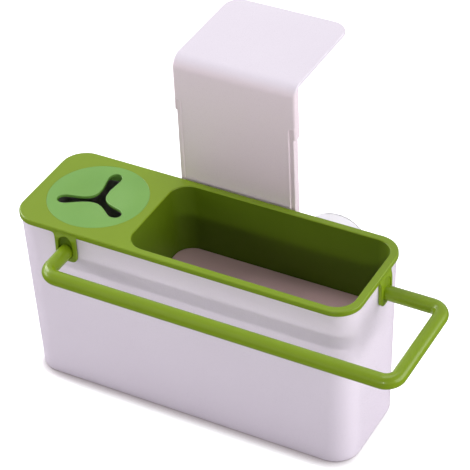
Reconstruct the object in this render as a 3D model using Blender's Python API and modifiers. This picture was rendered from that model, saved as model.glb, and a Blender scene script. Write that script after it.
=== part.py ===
# Dish towel and brush holder, hung inside a sink or stood beside it.
# A white tub carries a green top frame with a brush deck and a sponge sleeve. A soft grip with
# a three-armed opening sits in the deck, a shelf lies in the sleeve, and a rail for a towel is
# socketed in two tabs of the frame. A hanger slides in guides behind the tub, beside a suction cup.
# Metres, +Z up. The origin is the middle of the tub's base. +X runs along the tub, to the end
# that the rail wraps round, and +Y points to the sink's wall.

import math

import bmesh
import bpy
from mathutils import Matrix, Vector

# Fits
touch_gap = 0.0003
slide_gap = 0.0004
overrun = 0.002
weld_distance = 0.000001

# Overall box
rim_length = 0.270
rim_depth = 0.091
box_height = 0.142
rim_corner_radius = 0.0185
rim_thickness = 0.0042
rim_edge_round = 0.0012
rim_overhang = 0.0009

# Tub
tub_wall = 0.0022
tub_end_taper = 0.0035
tub_side_taper = 0.0021
tub_corner_radius = 0.019
tub_base_round = 0.003

# Sponge opening, the sleeve below it and the shelf at its foot
opening_corner_radius = 0.0145
sleeve_gap = 0.0009
sleeve_wall = 0.0016
sleeve_taper = 0.0015
shelf_drop = 0.0547
shelf_thickness = 0.0020
ledge_width = 0.0030
ledge_thickness = 0.0016
drain_slot_count = 8
drain_slot_pitch = 0.0165
drain_slot_length = 0.028
drain_slot_width = 0.0038

# Skirt that locates the frame in the tub
skirt_depth = 0.008
skirt_wall = 0.0016

# Brush grip and its seat in the deck
grip_diameter = 0.074
grip_end_land = 0.010
grip_inner_land = 0.0075
grip_thickness = 0.0020
grip_dish = 0.0020
grip_seat_width = 0.0055
grip_ring_wall = 0.0020
grip_ring_depth = 0.0040
dish_middle_share = 0.5
dish_depth_share = 0.75
slit_arm_count = 3
slit_arm_length = 0.0298
slit_bulb_width = 0.0098

# Towel rail and the tabs that hold it
rail_diameter = 0.011
rail_drop = 0.017
rail_front_reach = 0.0305
rail_end_reach = 0.045
rail_bend_radius = 0.0095
tab_width = 0.0174
tab_proud = 0.0019
tab_reach = 0.0082
tab_corner_radius = 0.0045
tab_fillet_radius = 0.0030
right_tab_y = 0.0083
socket_depth = 0.0018
socket_rise = 0.0066

# Hanger, in the raised position that it is photographed in
hanger_width = 0.0963
hanger_front_gap = 0.0022
hanger_wall = 0.003
hanger_cheek_depth = 0.0068
hanger_head = 0.0436
hanger_reach = 0.0898
hanger_bend_radius = 0.010
hanger_corner_radius = 0.012
hanger_neck_radius = 0.0018
hanger_edge_round = 0.0008
hanger_raise = 0.0688
shoulder_step = 0.0014
tongue_length = 0.124
groove_rise = 0.0092
groove_width = 0.0036
groove_depth = 0.0013

# Guides on the tub's back
guide_drop = 0.011
guide_foot = 0.008
guide_wall = 0.0025
guide_lip = 0.0040

# Suction cup and its boss on the tub's back
cup_end_inset = 0.061
cup_drop = 0.031
cup_diameter = 0.050
cup_depth = 0.0110
cup_lip = 0.0012
cup_wall = 0.0022
cup_neck_diameter = 0.013
cup_stem_diameter = 0.010
cup_stem_length = 0.0050
cup_shoulder_share = 0.72
cup_hollow_share = 0.55
boss_length = 0.0060
boss_wall = 0.0030

# Fineness of round shapes
corner_segments = 6
edge_segments = 2
turn_steps = 48
arc_segments = 8
slit_resolution = 4
rail_resolution = 4

# Angles between faces, in degrees: taken as flat, drawn sharp, and square enough to be rounded
flat_angle = 1
sharp_angle = 35
square_angle = 60

# Worked out from the sizes above
rim_under = box_height - rim_thickness
tub_top = rim_under - touch_gap
tub_top_length = rim_length - rim_overhang * 2
tub_top_depth = rim_depth - rim_overhang * 2
base_length = tub_top_length - tub_end_taper * 2
base_depth = tub_top_depth - tub_side_taper * 2
grip_ring_outer = grip_diameter - grip_seat_width * 2
grip_centre_x = grip_end_land + grip_diameter / 2 - rim_length / 2
opening_land = rim_overhang + tub_wall + sleeve_gap + sleeve_wall
opening_left = grip_centre_x + grip_diameter / 2 + grip_inner_land
opening_right = rim_length / 2 - opening_land
opening_centre_x = (opening_left + opening_right) / 2
opening_length = opening_right - opening_left
opening_depth = rim_depth - opening_land * 2
shelf_top = box_height - shelf_drop
ledge_top = shelf_top - shelf_thickness - touch_gap
sleeve_foot = ledge_top - ledge_thickness
rail_height = box_height - rail_drop
rail_front_y = -(rim_depth / 2 + rail_front_reach)
rail_right_x = rim_length / 2 + rail_end_reach
guide_top = box_height - guide_drop
cup_x = rim_length / 2 - cup_end_inset
cup_height = box_height - cup_drop
shoulder_height = guide_top + hanger_raise
groove_top = shoulder_height + groove_rise
hanger_top = shoulder_height + hanger_head
plate_front = rim_depth / 2 + hanger_front_gap
hanger_back = plate_front + hanger_reach
hanger_foot = shoulder_height - tongue_length
tongue_half = hanger_width / 2 - shoulder_step

parts_collection = None
cutters_collection = None


def clear_scene():
    for item in list(bpy.data.objects):
        bpy.data.objects.remove(item, do_unlink=True)


def make_collections():
    global parts_collection, cutters_collection
    parts_collection = bpy.data.collections.new("dish_towel_and_brush_holder")
    cutters_collection = bpy.data.collections.new("cutters")
    for collection in (parts_collection, cutters_collection):
        bpy.context.scene.collection.children.link(collection)
    cutters_collection.hide_render = True


def make_material(name, colour, roughness):
    material = bpy.data.materials.new(name)
    material.use_nodes = True
    shader = material.node_tree.nodes["Principled BSDF"]
    shader.inputs["Base Color"].default_value = (*colour, 1)
    shader.inputs["Roughness"].default_value = roughness
    shader.inputs["Metallic"].default_value = 0
    return material


def white_plastic():
    return make_material("white_plastic", colour=(0.80, 0.77, 0.81), roughness=0.35)


def green_plastic():
    return make_material("green_plastic", colour=(0.27, 0.40, 0.03), roughness=0.3)


def soft_green_rubber():
    return make_material("soft_green_rubber", colour=(0.22, 0.46, 0.13), roughness=0.55)


def cup_vinyl():
    return make_material("cup_vinyl", colour=(0.82, 0.82, 0.84), roughness=0.25)


def add_part(name, mesh, material):
    mesh.materials.clear()
    mesh.materials.append(material)
    mesh.shade_smooth()
    mesh.set_sharp_from_angle(angle=math.radians(sharp_angle))
    part = bpy.data.objects.new(name, mesh)
    parts_collection.objects.link(part)
    return part


def add_helper(name, mesh):
    helper = bpy.data.objects.new(name, mesh)
    cutters_collection.objects.link(helper)
    helper.hide_render = True
    helper.display_type = "WIRE"
    return helper


def combine(part, helper, operation):
    modifier = part.modifiers.new(helper.name, "BOOLEAN")
    modifier.operation = operation
    modifier.object = helper
    modifier.solver = "EXACT"


def cut(part, name, mesh):
    combine(part, add_helper(name, mesh), "DIFFERENCE")


def join(part, name, mesh):
    combine(part, add_helper(name, mesh), "UNION")


# The tub's outer length and depth at a height: it tapers evenly from its rim to its base.
def tub_size(height):
    share = height / tub_top
    length = base_length + (tub_top_length - base_length) * share
    depth = base_depth + (tub_top_depth - base_depth) * share
    return length, depth


def tub_back(height):
    return tub_size(height)[1] / 2


def arc(centre, radius, start, end, segments=arc_segments):
    points = []
    for step in range(segments + 1):
        angle = math.radians(start + (end - start) * step / segments)
        points.append((centre[0] + radius * math.cos(angle), centre[1] + radius * math.sin(angle)))
    return points


def round_edges(solid, edges, radius, segments):
    bmesh.ops.bevel(solid, geom=edges, offset=radius, segments=segments, profile=0.5, affect="EDGES")


def all_at_height(vertices, height):
    return all(abs(vertex.co.z - height) < weld_distance for vertex in vertices)


# A box whose foot may be narrower than its top, with its four upright edges rounded and,
# where asked, the rim of its top or of its foot.
def tapered_box(name, top_size, foot_size, top, foot, radius, top_round=0, foot_round=0, centre_x=0):
    solid = bmesh.new()
    bmesh.ops.create_cube(solid, size=1)
    for vertex in solid.verts:
        upper = vertex.co.z > 0
        size = top_size if upper else foot_size
        vertex.co.x *= size[0]
        vertex.co.y *= size[1]
        vertex.co.z = top if upper else foot
    uprights = [edge for edge in solid.edges if abs(edge.verts[0].co.z - edge.verts[1].co.z) > weld_distance]
    round_edges(solid, uprights, radius, corner_segments)
    for height, width in ((top, top_round), (foot, foot_round)):
        if width:
            loop = [edge for edge in solid.edges if all_at_height(edge.verts, height)]
            round_edges(solid, loop, width, edge_segments)
    bmesh.ops.translate(solid, verts=solid.verts, vec=(centre_x, 0, 0))
    mesh = bpy.data.meshes.new(name)
    solid.to_mesh(mesh)
    solid.free()
    return mesh


def box(name, low, high):
    solid = bmesh.new()
    bmesh.ops.create_cube(solid, size=1)
    middle = (Vector(low) + Vector(high)) / 2
    size = Vector(high) - Vector(low)
    bmesh.ops.scale(solid, verts=solid.verts, vec=size)
    bmesh.ops.translate(solid, verts=solid.verts, vec=middle)
    mesh = bpy.data.meshes.new(name)
    solid.to_mesh(mesh)
    solid.free()
    return mesh


def cylinder(name, diameter, length, matrix):
    solid = bmesh.new()
    bmesh.ops.create_cone(
        solid,
        cap_ends=True,
        segments=turn_steps,
        radius1=diameter / 2,
        radius2=diameter / 2,
        depth=length,
        matrix=matrix,
    )
    mesh = bpy.data.meshes.new(name)
    solid.to_mesh(mesh)
    solid.free()
    return mesh


# The mesh that a curve object makes, with its loose caps welded on, in world space.
def mesh_of_curve(name, curve, matrix=None):
    holder = bpy.data.objects.new(name, curve)
    bpy.context.scene.collection.objects.link(holder)
    bpy.context.view_layer.update()
    evaluated = holder.evaluated_get(bpy.context.evaluated_depsgraph_get())
    mesh = bpy.data.meshes.new_from_object(evaluated)
    bpy.data.objects.remove(holder, do_unlink=True)
    solid = bmesh.new()
    solid.from_mesh(mesh)
    bmesh.ops.remove_doubles(solid, verts=solid.verts, dist=weld_distance)
    if matrix:
        solid.transform(matrix)
    bmesh.ops.recalc_face_normals(solid, faces=solid.faces)
    if solid.calc_volume(signed=True) < 0:
        bmesh.ops.reverse_faces(solid, faces=solid.faces)
    solid.to_mesh(mesh)
    solid.free()
    mesh.name = name
    return mesh


# A flat outline, given in the plane that matrix turns XY into, thickened both ways.
def prism(name, outlines, thickness, matrix):
    curve = bpy.data.curves.new(name, "CURVE")
    curve.dimensions = "2D"
    curve.fill_mode = "BOTH"
    curve.extrude = thickness / 2
    for points in outlines:
        spline = curve.splines.new("POLY")
        spline.points.add(len(points) - 1)
        for point, place in zip(spline.points, points):
            point.co = (place[0], place[1], 0, 1)
        spline.use_cyclic_u = True
    return mesh_of_curve(name, curve, matrix)


# Planes for outlines: across, up and the direction that they are thickened in.
def facing_x(x):
    return Matrix(((0, 0, 1, x), (1, 0, 0, 0), (0, 1, 0, 0), (0, 0, 0, 1)))


def facing_y(y):
    return Matrix(((1, 0, 0, 0), (0, 0, -1, y), (0, 1, 0, 0), (0, 0, 0, 1)))


def facing_z(z):
    return Matrix.Translation((0, 0, z))


# A profile of (radius, height) points, outer side first from top to bottom, turned about Z.
def turned(name, profile):
    mesh = bpy.data.meshes.new(name)
    solid = bmesh.new()
    verts = [solid.verts.new((radius, 0, height)) for radius, height in profile]
    for first, second in zip(verts, verts[1:]):
        solid.edges.new((first, second))
    solid.to_mesh(mesh)
    solid.free()
    holder = bpy.data.objects.new(name, mesh)
    bpy.context.scene.collection.objects.link(holder)
    screw = holder.modifiers.new("turn", "SCREW")
    screw.steps = turn_steps
    screw.render_steps = turn_steps
    screw.use_merge_vertices = True
    screw.merge_threshold = weld_distance
    bpy.context.view_layer.update()
    evaluated = holder.evaluated_get(bpy.context.evaluated_depsgraph_get())
    result = bpy.data.meshes.new_from_object(evaluated)
    bpy.data.objects.remove(holder, do_unlink=True)
    result.name = name
    return result


# An L-shaped guide and a rib beside it, once for each side of the hanger. Their roots follow
# the tapered back wall, halfway into its thickness.
def guide_meshes(side):
    web_inner = tongue_half + slide_gap
    web_outer = web_inner + guide_wall
    lip_front = plate_front + hanger_cheek_depth + slide_gap
    lip_back = lip_front + guide_wall
    root = tub_back(0) - tub_wall
    hook = [
        (side * web_inner, root),
        (side * web_outer, root),
        (side * web_outer, lip_back),
        (side * (web_inner - guide_lip), lip_back),
        (side * (web_inner - guide_lip), lip_front),
        (side * web_inner, lip_front),
    ]
    rib_outer = tongue_half - slide_gap
    rib_inner = tongue_half - groove_width + slide_gap
    rib_back = plate_front + groove_depth - slide_gap
    rib = [
        (side * rib_inner, root),
        (side * rib_outer, root),
        (side * rib_outer, rib_back),
        (side * rib_inner, rib_back),
    ]
    meshes = []
    for label, outline in (("guide", hook), ("rib", rib)):
        name = f"{label}_{'right' if side > 0 else 'left'}"
        mesh = prism(name, [outline], guide_top - guide_foot, facing_z((guide_top + guide_foot) / 2))
        for vertex in mesh.vertices:
            if vertex.co.y < root + weld_distance:
                vertex.co.y = tub_back(vertex.co.z) - tub_wall / 2
        meshes.append((name, mesh))
    return meshes


# A cylinder on the suction cup's axis, between two depths.
def cup_cylinder(name, diameter, front, back):
    middle = Matrix.Translation((cup_x, (front + back) / 2, cup_height))
    return cylinder(name, diameter, back - front, middle @ Matrix.Rotation(math.pi / 2, 4, "X"))


def make_tub(material):
    top_size = (tub_top_length, tub_top_depth)
    mesh = tapered_box(
        "tub", top_size, (base_length, base_depth), tub_top, 0, tub_corner_radius, foot_round=tub_base_round
    )
    solid = bmesh.new()
    solid.from_mesh(mesh)
    lid = [face for face in solid.faces if all_at_height(face.verts, tub_top)]
    bmesh.ops.delete(solid, geom=lid, context="FACES_ONLY")
    solid.to_mesh(mesh)
    solid.free()
    tub = add_part("tub", mesh, material)
    shell = tub.modifiers.new("wall", "SOLIDIFY")
    shell.thickness = tub_wall
    shell.offset = -1
    shell.use_even_offset = True
    shell.use_quality_normals = True
    for side in (-1, 1):
        for name, guide in guide_meshes(side):
            join(tub, name, guide)
    wall_at_cup = tub_back(cup_height)
    boss_back = wall_at_cup + boss_length
    boss_front = wall_at_cup - tub_wall / 2
    bore_front = boss_back - cup_stem_length - slide_gap
    bore_diameter = cup_stem_diameter + slide_gap * 2
    boss_diameter = bore_diameter + boss_wall * 2
    join(tub, "cup_boss", cup_cylinder("cup_boss", boss_diameter, boss_front, boss_back))
    cut(tub, "cup_bore", cup_cylinder("cup_bore", bore_diameter, bore_front, boss_back + overrun))
    return tub


# The tab hangs from the rim with rounded lower corners, and a concave fillet where its outer
# side leaves the rim. Its outline is drawn about its own middle, with its outer side at +X or -X.
def tab_outline(outer):
    half = tab_width / 2
    low = rail_height - tab_reach
    high = rim_under + rim_thickness / 2
    points = [(-half, high)]
    points += arc((-half + tab_corner_radius, low + tab_corner_radius), tab_corner_radius, 180, 270)
    points += arc((half - tab_corner_radius, low + tab_corner_radius), tab_corner_radius, 270, 360)
    points += arc((half + tab_fillet_radius, rim_under - tab_fillet_radius), tab_fillet_radius, 180, 90)
    points.append((half + tab_fillet_radius, high))
    return [(outer * across, height) for across, height in points]


# The socket takes the rail's end at its foot and rises above it.
def socket_outline():
    radius = rail_diameter / 2 + touch_gap
    lower = arc((0, rail_height), radius, 180, 360, arc_segments * 2)
    upper = arc((0, rail_height + socket_rise), radius, 0, 180, arc_segments * 2)
    return lower + upper


# A tab in its own frame: the rim's side is the plane Y = 0 and the tab stands out towards -Y.
# Its back clears the tub's wall, and its top slopes back to just inside the rim's side.
def make_tab(name, outer):
    back = rim_overhang - touch_gap
    plate = prism(name, [tab_outline(outer)], tab_proud + back, facing_y((back - tab_proud) / 2))
    tab = add_helper(name, plate)
    slope = [
        (touch_gap, rim_under + rim_thickness / 2 - rim_edge_round / 2),
        (-tab_proud - overrun, rim_under - rim_edge_round),
        (-tab_proud - overrun, box_height + overrun),
        (touch_gap, box_height + overrun),
    ]
    slope_name = f"{name}_slope"
    cut(tab, slope_name, prism(slope_name, [slope], tab_width * 2, facing_x(0)))
    depth = socket_depth + overrun
    socket_name = f"{name}_socket"
    socket = prism(socket_name, [socket_outline()], depth, facing_y(socket_depth - tab_proud - depth / 2))
    cut(tab, socket_name, socket)
    return tab


def place(helper, location, turn):
    cutters = [modifier.object for modifier in helper.modifiers]
    for item in [helper] + cutters:
        item.location = location
        item.rotation_euler = (0, 0, turn)


# The meshes that some helpers make with their cuts, in world space, as one mesh.
def mesh_of_helpers(name, helpers):
    bpy.context.view_layer.update()
    graph = bpy.context.evaluated_depsgraph_get()
    solid = bmesh.new()
    for helper in helpers:
        mesh = bpy.data.meshes.new_from_object(helper.evaluated_get(graph))
        mesh.transform(helper.matrix_world)
        solid.from_mesh(mesh)
    mesh = bpy.data.meshes.new(name)
    solid.to_mesh(mesh)
    solid.free()
    return mesh


# A cylinder on the grip's axis between two heights, wider than the grip's own diameter there.
def grip_cylinder(name, diameter, low, high):
    middle = Matrix.Translation((grip_centre_x, 0, (low + high) / 2))
    return cylinder(name, diameter + touch_gap * 2, high - low, middle)


def make_top_frame(material):
    rim_size = (rim_length, rim_depth)
    plate = tapered_box(
        "top_frame", rim_size, rim_size, box_height, rim_under, rim_corner_radius, top_round=rim_edge_round
    )
    frame = add_part("top_frame", plate, material)

    sleeve_top = (opening_length + sleeve_wall * 2, opening_depth + sleeve_wall * 2)
    sleeve_base = (sleeve_top[0] - sleeve_taper * 2, sleeve_top[1] - sleeve_taper * 2)
    radius = opening_corner_radius + sleeve_wall
    middle = rim_under + rim_thickness / 2
    join(frame, "sleeve", tapered_box(
        "sleeve", sleeve_top, sleeve_base, middle, sleeve_foot, radius, centre_x=opening_centre_x
    ))

    skirt_gap = tub_wall + slide_gap
    skirt_radius = tub_corner_radius - skirt_gap
    skirt_foot = rim_under - skirt_depth
    skirt_size = [size - skirt_gap * 2 for size in tub_size(tub_top)]
    skirt_base = [size - skirt_gap * 2 for size in tub_size(skirt_foot)]
    skirt = tapered_box("skirt", skirt_size, skirt_base, middle, skirt_foot, skirt_radius)
    hollow_size = (skirt_size[0] - skirt_wall * 2, skirt_size[1] - skirt_wall * 2)
    hollow_base = (skirt_base[0] - skirt_wall * 2, skirt_base[1] - skirt_wall * 2)
    hollow = tapered_box(
        "skirt_hollow", hollow_size, hollow_base, rim_under, skirt_foot - overrun, skirt_radius - skirt_wall
    )
    ring = add_helper("skirt", skirt)
    cut(ring, "skirt_hollow", hollow)
    combine(frame, ring, "UNION")

    opening_size = (opening_length, opening_depth)
    opening_base = (opening_length - sleeve_taper * 2, opening_depth - sleeve_taper * 2)
    cut(frame, "sponge_opening", tapered_box(
        "sponge_opening", opening_size, opening_base, box_height + overrun, ledge_top,
        opening_corner_radius, centre_x=opening_centre_x
    ))
    ledge_size = (opening_base[0] - ledge_width * 2, opening_base[1] - ledge_width * 2)
    cut(frame, "shelf_ledge_opening", tapered_box(
        "shelf_ledge_opening", ledge_size, ledge_size, shelf_top, sleeve_foot - overrun,
        opening_corner_radius - ledge_width, centre_x=opening_centre_x
    ))

    seat_floor = box_height - grip_thickness - touch_gap
    cut(frame, "grip_seat", grip_cylinder("grip_seat", grip_diameter, seat_floor, box_height + overrun))
    cut(frame, "grip_hole", grip_cylinder("grip_hole", grip_ring_outer, rim_under - overrun, box_height))

    front_tab = make_tab("front_tab", outer=-1)
    place(front_tab, (grip_centre_x, -rim_depth / 2, 0), 0)
    right_tab = make_tab("right_tab", outer=1)
    place(right_tab, (rim_length / 2, right_tab_y, 0), math.pi / 2)
    join(frame, "tabs", mesh_of_helpers("tabs", (front_tab, right_tab)))
    return frame


def make_sponge_shelf(material):
    share = (box_height - shelf_top) / (box_height - ledge_top)
    inset = sleeve_taper * share + slide_gap
    size = (opening_length - inset * 2, opening_depth - inset * 2)
    foot = (size[0] - slide_gap, size[1] - slide_gap)
    mesh = tapered_box(
        "sponge_shelf", size, foot, shelf_top, shelf_top - shelf_thickness,
        opening_corner_radius - slide_gap, centre_x=opening_centre_x
    )
    shelf = add_part("sponge_shelf", mesh, material)
    outlines = []
    straight = (drain_slot_length - drain_slot_width) / 2
    radius = drain_slot_width / 2
    for number in range(drain_slot_count):
        x = opening_centre_x + (number - (drain_slot_count - 1) / 2) * drain_slot_pitch
        outlines.append(arc((x, straight), radius, 0, 180) + arc((x, -straight), radius, 180, 360))
    middle = facing_z(shelf_top - shelf_thickness / 2)
    cut(shelf, "drain_slots", prism("drain_slots", outlines, shelf_thickness + overrun * 2, middle))
    return shelf


# One arm of the opening, drawn from the notch before it to its tip. Shares are of the arm's
# length along it and of the bulb's half width across it.
arm_shape_shares = [(0.33, 0.63), (0.54, 0.77), (0.67, 0.91), (0.81, 1.0), (0.93, 0.76)]
web_share = 0.181


def slit_points():
    points = []
    turn = math.tau / slit_arm_count
    for arm in range(slit_arm_count):
        axis = math.pi / 2 + turn * arm
        notch = axis - turn / 2
        along = Vector((math.cos(axis), math.sin(axis)))
        across = Vector((math.sin(axis), -math.cos(axis)))
        points.append(Vector((math.cos(notch), math.sin(notch))) * slit_arm_length * web_share)
        tip = along * slit_arm_length
        edge = across * slit_bulb_width / 2
        points += [tip * far + edge * wide for far, wide in arm_shape_shares]
        points.append(tip)
        points += [tip * far - edge * wide for far, wide in reversed(arm_shape_shares)]
    return points


def slit_mesh():
    curve = bpy.data.curves.new("grip_slit", "CURVE")
    curve.dimensions = "2D"
    curve.fill_mode = "BOTH"
    height = grip_thickness + grip_dish + overrun * 4
    curve.extrude = height / 2
    curve.resolution_u = slit_resolution
    points = slit_points()
    spline = curve.splines.new("BEZIER")
    spline.bezier_points.add(len(points) - 1)
    for point, place in zip(spline.bezier_points, points):
        point.co = (place.x, place.y, 0)
        point.handle_left_type = "AUTO"
        point.handle_right_type = "AUTO"
    spline.use_cyclic_u = True
    return mesh_of_curve("grip_slit", curve, facing_z(-grip_thickness))


# The grip is a shallow dish on a ring that plugs into the deck. It is turned about its own
# middle and set in the deck by its location.
def make_brush_grip(material):
    rim = grip_diameter / 2
    ring = grip_ring_outer / 2
    hollow = ring - grip_ring_wall
    dish_edge = hollow - grip_ring_wall
    dish_middle = dish_edge * dish_middle_share
    middle_depth = grip_dish * dish_depth_share
    profile = [
        (0, -grip_dish),
        (dish_middle, -middle_depth),
        (dish_edge, -touch_gap),
        (hollow, 0),
        (rim - touch_gap, 0),
        (rim, -touch_gap),
        (rim, -grip_thickness),
        (ring, -grip_thickness),
        (ring, -grip_ring_depth - grip_thickness),
        (hollow, -grip_ring_depth - grip_thickness),
        (hollow, -grip_thickness - touch_gap),
        (dish_edge, -grip_thickness - touch_gap),
        (dish_middle, -grip_thickness - middle_depth),
        (0, -grip_thickness - grip_dish),
    ]
    grip = add_part("brush_grip", turned("brush_grip", profile), material)
    grip.location = (grip_centre_x, 0, box_height)
    cutter = add_helper("grip_slit", slit_mesh())
    cutter.location = grip.location
    combine(grip, cutter, "DIFFERENCE")
    return grip


# The rail is one rod: out of the front tab, along the front, round the right end and back to
# the right tab, with three bends of the same radius.
def rail_points():
    front_root = -(rim_depth / 2 + tab_proud - socket_depth + touch_gap)
    right_root = rim_length / 2 + tab_proud - socket_depth + touch_gap
    radius = rail_bend_radius
    points = [(grip_centre_x, front_root)]
    points += arc((grip_centre_x + radius, rail_front_y + radius), radius, 180, 270)
    points += arc((rail_right_x - radius, rail_front_y + radius), radius, 270, 360)
    points += arc((rail_right_x - radius, right_tab_y - radius), radius, 0, 90)
    points.append((right_root, right_tab_y))
    return points


def make_towel_rail(material):
    curve = bpy.data.curves.new("towel_rail", "CURVE")
    curve.dimensions = "3D"
    curve.bevel_depth = rail_diameter / 2
    curve.bevel_resolution = rail_resolution
    curve.use_fill_caps = True
    points = rail_points()
    spline = curve.splines.new("POLY")
    spline.points.add(len(points) - 1)
    for point, place in zip(spline.points, points):
        point.co = (place[0], place[1], rail_height, 1)
    return add_part("towel_rail", mesh_of_curve("towel_rail", curve), material)


# The hanger's side profile, (depth, height): a plate as deep as its cheeks, a bend and a flange.
def hanger_profile():
    bend = (plate_front + hanger_bend_radius, hanger_top - hanger_bend_radius)
    flange_under = hanger_top - hanger_wall
    cheek_back = plate_front + hanger_cheek_depth
    neck = (cheek_back + hanger_neck_radius, flange_under - hanger_neck_radius)
    points = [(plate_front, hanger_foot)]
    points += arc(bend, hanger_bend_radius, 180, 90)
    points += [(hanger_back, hanger_top), (hanger_back, flange_under)]
    points += arc(neck, hanger_neck_radius, 90, 180)
    points.append((cheek_back, hanger_foot))
    return points


# The hollow behind the plate, which leaves the plate's wall and a cheek along each side.
def pocket_profile():
    inner_radius = hanger_bend_radius - hanger_wall
    front = plate_front + hanger_wall
    top = hanger_top - hanger_wall - touch_gap
    points = [(front, hanger_foot - overrun)]
    points += arc((front + inner_radius, top - inner_radius), inner_radius, 180, 90)
    points.append((front + inner_radius, hanger_foot - overrun))
    return points


# Rounds the two upright corners at the flange's far end, then every edge round the outline.
def round_hanger_edges(mesh):
    solid = bmesh.new()
    solid.from_mesh(mesh)
    flat = math.radians(flat_angle)
    bmesh.ops.dissolve_limit(solid, angle_limit=flat, verts=solid.verts, edges=solid.edges)
    uprights = []
    for edge in solid.edges:
        first, second = (vertex.co for vertex in edge.verts)
        upright = abs(first.x - second.x) < weld_distance and abs(first.y - second.y) < weld_distance
        if upright and abs(first.y - hanger_back) < weld_distance:
            uprights.append(edge)
    round_edges(solid, uprights, hanger_corner_radius, corner_segments)
    square = [edge for edge in solid.edges if edge.calc_face_angle() > math.radians(square_angle)]
    round_edges(solid, square, hanger_edge_round, edge_segments)
    solid.to_mesh(mesh)
    solid.free()
    return mesh


def make_hanger(material):
    body = prism("hanger", [hanger_profile()], hanger_width, facing_x(0))
    hanger = add_part("hanger", round_hanger_edges(body), material)
    pocket_width = (tongue_half - hanger_wall) * 2
    cut(hanger, "hanger_pocket", prism("hanger_pocket", [pocket_profile()], pocket_width, facing_x(0)))
    deep_end = plate_front + hanger_cheek_depth + overrun
    for side in (-1, 1):
        label = "right" if side > 0 else "left"
        edges = sorted((side * tongue_half, side * (hanger_width / 2 + overrun)))
        low = (edges[0], plate_front - overrun, hanger_foot - overrun)
        high = (edges[1], deep_end, shoulder_height)
        cut(hanger, f"shoulder_{label}", box(f"shoulder_{label}", low, high))
        inner = tongue_half - groove_width
        outer = tongue_half + touch_gap
        radius = (outer - inner) / 2
        outline = [(side * inner, hanger_foot - overrun), (side * outer, hanger_foot - overrun)]
        cap = arc((side * (inner + outer) / 2, groove_top - radius), radius, 0, 180)
        outline += cap if side > 0 else list(reversed(cap))
        thickness = groove_depth + overrun
        middle = plate_front + groove_depth - thickness / 2
        cut(hanger, f"groove_{label}", prism(f"groove_{label}", [outline], thickness, facing_y(middle)))
    return hanger


# The cup is turned about the axis of its stem, then laid over to face the sink's wall.
def make_suction_cup(material):
    boss_back = tub_back(cup_height) + boss_length
    rim = cup_diameter / 2
    neck = cup_neck_diameter / 2
    stem = cup_stem_diameter / 2
    outline = [
        (0, cup_depth + cup_stem_length),
        (stem, cup_depth + cup_stem_length),
        (stem, cup_depth),
        (neck, cup_depth),
        (neck, cup_depth - cup_wall),
        (rim * cup_shoulder_share, cup_wall + cup_lip * 2),
        (rim, cup_lip),
        (rim, 0),
        (rim * cup_hollow_share, cup_wall),
        (0, cup_wall * 2),
    ]
    cup = add_part("suction_cup", turned("suction_cup", outline), material)
    cup.rotation_euler = (math.pi / 2, 0, 0)
    cup.location = (cup_x, boss_back + touch_gap + cup_depth, cup_height)
    return cup


# An empty on the line that the pieces slide along, with the pieces as its children.
def slide_line(name, location, pieces):
    empty = bpy.data.objects.new(name, None)
    parts_collection.objects.link(empty)
    empty.location = location
    bpy.context.view_layer.update()
    for piece in pieces:
        piece.parent = empty
        piece.matrix_parent_inverse = empty.matrix_world.inverted()
    return empty


def main():
    clear_scene()
    make_collections()
    white = white_plastic()
    green = green_plastic()
    tub = make_tub(white)
    frame = make_top_frame(green)
    shelf = make_sponge_shelf(white)
    grip = make_brush_grip(soft_green_rubber())
    rail = make_towel_rail(green)
    hanger = make_hanger(white)
    cup = make_suction_cup(cup_vinyl())
    slide_line("tub_stand", (0, 0, 0), [tub, cup])
    slide_line("hanger_slide", (0, plate_front, guide_top), [hanger])
    shelf_line = slide_line("shelf_lift", (opening_centre_x, 0, ledge_top), [shelf])
    slide_line("frame_lift", (0, 0, rim_under), [frame, grip, rail, shelf_line])


main()
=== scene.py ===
import bmesh
import bpy
import numpy as np
from mathutils import Matrix, Vector
from mathutils.geometry import delaunay_2d_cdt


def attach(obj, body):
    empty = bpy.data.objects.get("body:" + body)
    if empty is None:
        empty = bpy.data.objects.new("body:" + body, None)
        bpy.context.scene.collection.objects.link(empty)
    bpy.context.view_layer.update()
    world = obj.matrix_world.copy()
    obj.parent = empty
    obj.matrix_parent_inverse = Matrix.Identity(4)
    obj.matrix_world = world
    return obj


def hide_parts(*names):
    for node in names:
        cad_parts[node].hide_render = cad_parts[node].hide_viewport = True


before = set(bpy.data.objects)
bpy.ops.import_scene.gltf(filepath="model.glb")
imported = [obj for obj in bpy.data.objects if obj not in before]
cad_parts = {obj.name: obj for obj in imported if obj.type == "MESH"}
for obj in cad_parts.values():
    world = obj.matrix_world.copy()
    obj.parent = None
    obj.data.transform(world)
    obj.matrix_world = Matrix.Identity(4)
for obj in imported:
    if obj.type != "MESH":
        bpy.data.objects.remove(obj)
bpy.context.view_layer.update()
print("frame loaded,", len(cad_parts), "nodes")

mm = 0.001
tiny = 1e-9  # keeps a divisor away from zero
alongY, alongZ = 1, 2  # the axes that round pieces are turned about
quarter = np.radians(np.linspace(0, 90, 5))  # the angles of a small rounding

# How a piece is closed and finished: points nearer than "merge" (metres) become one, "fill" is the
# tolerance in cutting up flat faces, and edges sharper than "crease" (degrees) stay sharp.
making = {"merge": 2e-6, "fill": 1e-7, "crease": 38, "bevelSteps": 3}


# The named values of a dictionary, in the order asked for.
def pick(values, names):
    return [values[name] for name in names.split()]


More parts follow.
